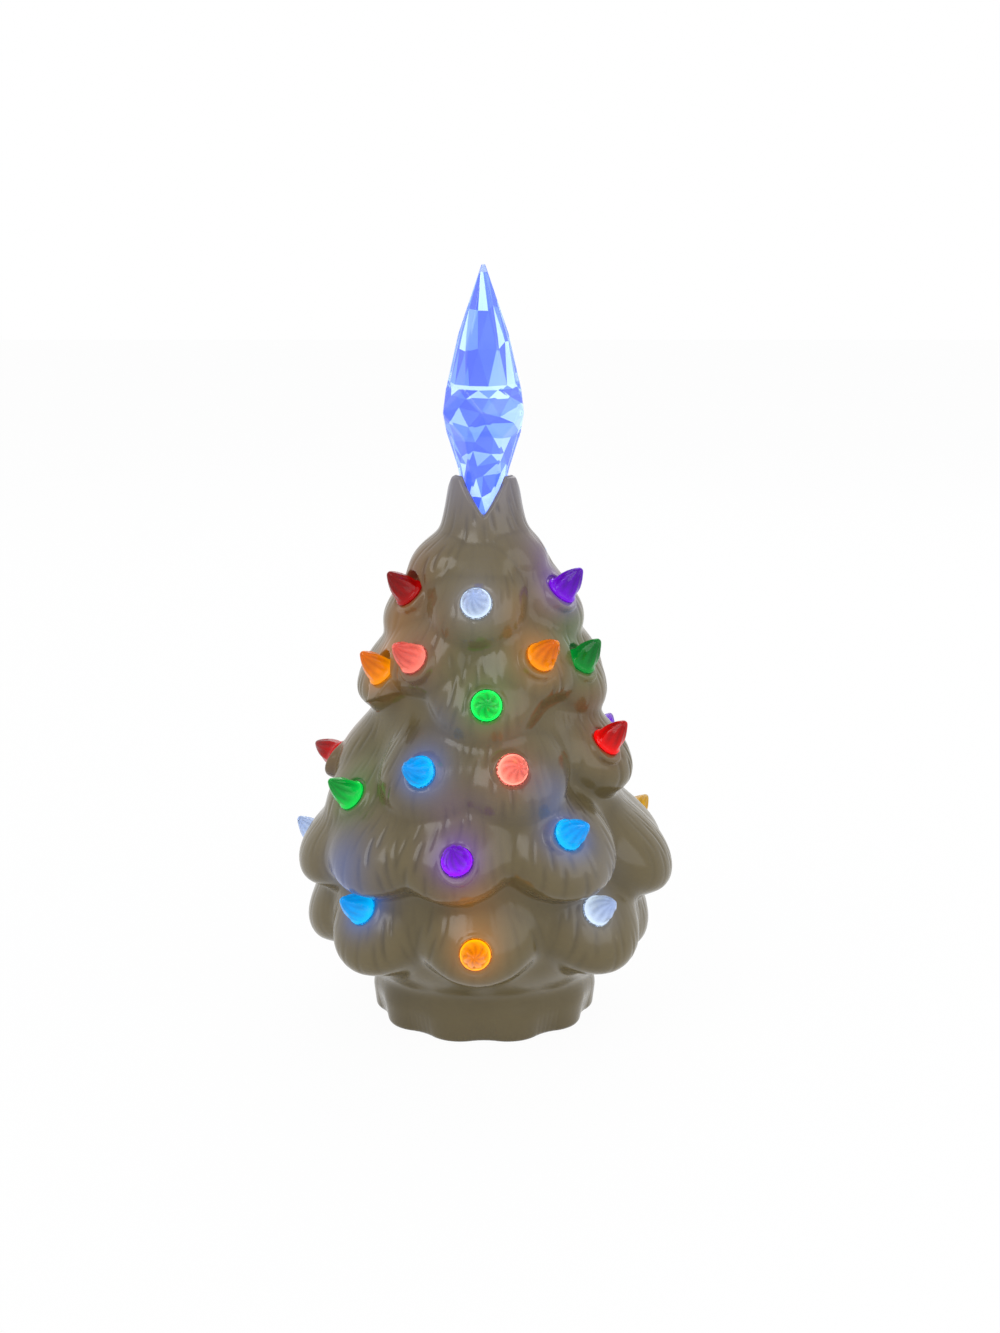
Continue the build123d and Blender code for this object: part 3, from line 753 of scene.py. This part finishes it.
def ramp(nodes, links, source, stops):
    band = nodes.new("ShaderNodeValToRGB")
    while len(band.color_ramp.elements) < len(stops):
        band.color_ramp.elements.new(0.5)
    for element, (place, colour) in zip(band.color_ramp.elements, stops):
        element.position = place
        element.color = (*colour, 1)
    links.new(source, band.inputs["Fac"])
    return band.outputs["Color"]


def add_bump(nodes, links, shader, source, strength, distance):
    bump = nodes.new("ShaderNodeBump")
    bump.inputs["Strength"].default_value = strength
    bump.inputs["Distance"].default_value = distance
    links.new(source, bump.inputs["Height"])
    links.new(bump.outputs["Normal"], shader.inputs["Normal"])


def glaze_material():
    material, nodes, links, shader = new_material("glaze")
    base = two_tones(nodes, links, noise(nodes, links, scale=38), GLAZE_TONES)
    # Darker in the needle strokes, and painted shade in the creases between boughs
    mix = nodes.new("ShaderNodeMix")
    mix.data_type = "RGBA"
    mix.inputs["B"].default_value = (*GLAZE_STROKE_AND_SHADE, 1)
    links.new(attribute(nodes, "carved_and_crease_shade")["Fac"], mix.inputs["Factor"])
    links.new(base, mix.inputs["A"])
    links.new(mix.outputs["Result"], shader.inputs["Base Color"])
    fine = noise(nodes, links, scale=260)
    rough = two_tones(nodes, links, fine, [grey(value) for value in GLAZE_ROUGHNESS])
    links.new(rough, shader.inputs["Roughness"])
    shader.inputs["Specular IOR Level"].default_value = 0.4
    # The glaze glows with the painted light of the bulbs and the spire
    links.new(attribute(nodes, "glow")["Color"], shader.inputs["Emission Color"])
    shader.inputs["Emission Strength"].default_value = 1.0
    add_bump(nodes, links, shader, fine, strength=0.08, distance=0.0004)
    return material


def bulb_materials(colour):
    tint, glow, light, _ = BULB_LOOKS[colour]
    shell, nodes, links, shader = new_material(colour + "_bulb_shell")
    deep = tuple(SHELL_DARKEST * channel for channel in tint)
    tone = two_tones(nodes, links, noise(nodes, links, scale=420), (deep, tint))
    links.new(tone, shader.inputs["Base Color"])
    shader.inputs["Emission Color"].default_value = (*glow, 1)
    shader.inputs["Emission Strength"].default_value = 1.0
    shader.inputs["Transmission Weight"].default_value = 0.9
    shader.inputs["Roughness"].default_value = 0.08
    shader.inputs["IOR"].default_value = 1.3
    shader.inputs["Specular IOR Level"].default_value = 0.3
    heart, nodes, links, shader = new_material(colour + "_bulb_heart")
    pale = tuple(min(1, HEART_PALE[0] + HEART_PALE[1] * channel) for channel in tint)
    tone = ramp(nodes, links, noise(nodes, links, scale=300), [(0.35, tint), (0.65, pale)])
    links.new(tone, shader.inputs["Base Color"])
    shader.inputs["Emission Color"].default_value = (*light, 1)
    links.new(attribute(nodes, "lit")["Fac"], shader.inputs["Emission Strength"])
    return shell, heart


def spire_materials():
    clear, nodes, links, shader = new_material("spire_clear")
    tone = two_tones(nodes, links, noise(nodes, links, scale=60), CLEAR_TONES)
    links.new(tone, shader.inputs["Base Color"])
    shader.inputs["Transmission Weight"].default_value = 0.9
    shader.inputs["Roughness"].default_value = 0.04
    shader.inputs["IOR"].default_value = 1.49
    shader.inputs["Emission Color"].default_value = (0.10, 0.18, 1.0, 1)
    shader.inputs["Emission Strength"].default_value = 0.18
    lit, nodes, links, shader = new_material("spire_lit")
    glow = ramp(nodes, links, attribute(nodes, "facet")["Fac"], FACET_STOPS)
    links.new(glow, shader.inputs["Base Color"])
    links.new(glow, shader.inputs["Emission Color"])
    shader.inputs["Emission Strength"].default_value = 0.85
    return clear, lit


def plain_material(name, dark, light, roughness, scale, metallic=0.0):
    """Moulded or metal piece: two close tones, a fine grain and its own roughness."""
    material, nodes, links, shader = new_material(name)
    grain = noise(nodes, links, scale)
    links.new(two_tones(nodes, links, grain, (dark, light)), shader.inputs["Base Color"])
    smooth, rough = [grey(roughness * share) for share in PLAIN_ROUGHNESS]
    links.new(ramp(nodes, links, grain, [(0.2, smooth), (0.8, rough)]), shader.inputs["Roughness"])
    shader.inputs["Metallic"].default_value = metallic
    add_bump(nodes, links, shader, grain, strength=0.12, distance=0.0002)
    return material


def dress_nodes():
    made = {name: plain_material(name, *values) for name, values in PLAIN.items()}
    for row in frame["record"]["subparts"]:
        slot = row["material_slot"]
        if slot in made:
            data = frame["nodes"][row["node"]].data
            data.materials.clear()
            data.materials.append(made[slot])


# Stage: floor and lamps in metres, camera in millimetres
FLOOR_SIZE = 6.0
FLOOR_TONES = ((0.86, 0.86, 0.86), (0.90, 0.90, 0.90))
FLOOR_WHITE = 0.96
CAMERA_PLACE = (5.3, -710.0, 279.7)
CAMERA_PITCH = 12.78
CAMERA_ANGLE = 33.78
# Lamps: name, place, aim, size, power
LAMPS = [
    ("key", (-0.7, -0.9, 1.1), (0, 0, 0.1), 0.9, 7),
    ("fill", (0.9, -0.7, 0.7), (0, 0, 0.1), 1.2, 5),
    ("back", (0.2, 0.9, 0.9), (0, 0, 0.12), 1.0, 5),
]


def seen_rays(nodes, links):
    """One where the surroundings are seen directly, in a reflection or through clear plastic."""
    path = nodes.new("ShaderNodeLightPath")
    seen = path.outputs["Is Camera Ray"]
    for ray in ("Is Glossy Ray", "Is Transmission Ray"):
        either = nodes.new("ShaderNodeMath")
        either.operation = "MAXIMUM"
        links.new(seen, either.inputs[0])
        links.new(path.outputs[ray], either.inputs[1])
        seen = either.outputs[0]
    return seen


def make_floor():
    mesh = bpy.data.meshes.new("floor")
    half = FLOOR_SIZE / 2
    corners = [(-half, -half, 0), (half, -half, 0), (half, half, 0), (-half, half, 0)]
    mesh.from_pydata(corners, [], [(0, 1, 2, 3)])
    floor = bpy.data.objects.new("floor", mesh)
    bpy.context.scene.collection.objects.link(floor)
    material, nodes, links, shader = new_material("floor_pale")
    tone = two_tones(nodes, links, noise(nodes, links, scale=3), FLOOR_TONES)
    links.new(tone, shader.inputs["Base Color"])
    shader.inputs["Roughness"].default_value = 0.7
    lit = nodes.new("ShaderNodeEmission")
    mix = nodes.new("ShaderNodeMixShader")
    share = nodes.new("ShaderNodeMath")
    share.operation = "MULTIPLY"
    share.inputs[1].default_value = FLOOR_WHITE
    links.new(seen_rays(nodes, links), share.inputs[0])
    links.new(share.outputs[0], mix.inputs["Fac"])
    links.new(shader.outputs[0], mix.inputs[1])
    links.new(lit.outputs[0], mix.inputs[2])
    links.new(mix.outputs[0], nodes["Material Output"].inputs["Surface"])
    mesh.materials.append(material)


def make_world():
    world = bpy.data.worlds.new("studio")
    bpy.context.scene.world = world
    world.use_nodes = True
    nodes, links = world.node_tree.nodes, world.node_tree.links
    soft = nodes["Background"]
    soft.inputs["Color"].default_value = (0.95, 0.97, 1.0, 1)
    soft.inputs["Strength"].default_value = 0.6
    white = nodes.new("ShaderNodeBackground")
    white.inputs["Color"].default_value = (1, 1, 1, 1)
    mix = nodes.new("ShaderNodeMixShader")
    links.new(seen_rays(nodes, links), mix.inputs["Fac"])
    links.new(soft.outputs[0], mix.inputs[1])
    links.new(white.outputs[0], mix.inputs[2])
    links.new(mix.outputs[0], nodes["World Output"].inputs["Surface"])


def add_lamp(name, place, aim, size, power):
    data = bpy.data.lights.new(name, "AREA")
    data.size = size
    data.energy = power
    lamp = bpy.data.objects.new(name, data)
    lamp.location = place
    lamp.rotation_euler = (Vector(aim) - Vector(place)).to_track_quat("-Z", "Y").to_euler()
    bpy.context.scene.collection.objects.link(lamp)


def make_camera():
    data = bpy.data.cameras.new("camera")
    data.angle = radians(CAMERA_ANGLE)
    data.clip_start = 0.01
    camera = bpy.data.objects.new("camera", data)
    camera.location = [value * MM for value in CAMERA_PLACE]
    camera.rotation_euler = (radians(90 - CAMERA_PITCH), 0, 0)
    bpy.context.scene.collection.objects.link(camera)
    bpy.context.scene.camera = camera


bpy.context.scene.view_settings.view_transform = "Standard"
make_camera()
make_floor()
make_world()
for lamp_row in LAMPS:
    add_lamp(*lamp_row)

make_body(glaze_material())
bulb_pairs = {colour: bulb_materials(colour) for colour in BULB_LOOKS}
for bulb_name, bulb_colour, bulb_place, bulb_axis in named_bulbs():
    make_bulb(bulb_name, bulb_colour, bulb_place, bulb_axis, bulb_pairs[bulb_colour])
make_spire(*spire_materials())
dress_nodes()
